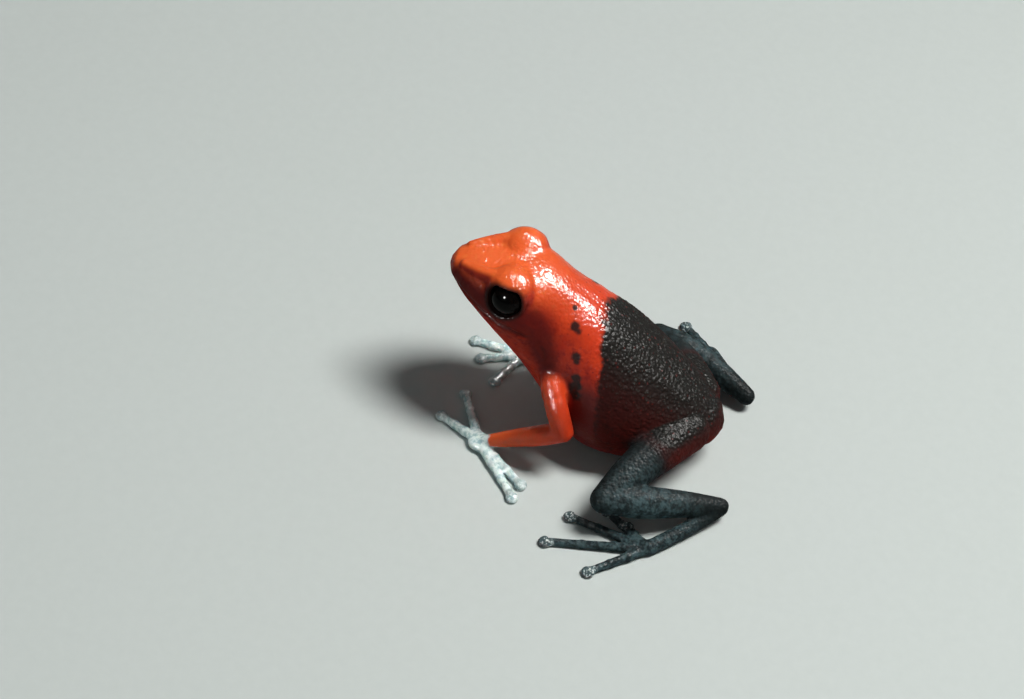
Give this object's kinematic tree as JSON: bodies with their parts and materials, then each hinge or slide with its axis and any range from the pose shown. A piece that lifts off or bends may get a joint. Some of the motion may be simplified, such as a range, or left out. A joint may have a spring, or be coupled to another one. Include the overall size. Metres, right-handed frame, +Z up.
{
  "type": "strawberry poison dart frog",
  "caption": "Life-size still model of a small poison dart frog that sits upright on spread hands and folded hind legs, red in front and dark behind.",
  "frame": {"origin": "middle of the base of the bounding box, on the floor that the hands and feet rest on", "axes": "+X to the frog's left, -Y the way the frog faces, +Z up"},
  "size_m": [0.0248, 0.021, 0.0141],
  "materials": {
    "red_skin": "moist orange-red skin, glossy",
    "dark_skin": "moist granular dark skin, satin",
    "pale_skin": "moist bluish grey skin, satin",
    "eye_black": "wet, polished black"
  },
  "bodies": {
    "root": {"head": "red_skin", "torso": "dark_skin", "eye_left": "eye_black", "eye_right": "eye_black", "upper_arm_left": "red_skin", "upper_arm_right": "red_skin", "forearm_left": "red_skin", "forearm_right": "red_skin", "hand_left": "pale_skin", "hand_right": "pale_skin", "thigh_left": "dark_skin", "thigh_right": "dark_skin", "shin_left": "dark_skin", "shin_right": "dark_skin", "foot_left": "pale_skin", "foot_right": "pale_skin"}
  },
  "joints": []
}
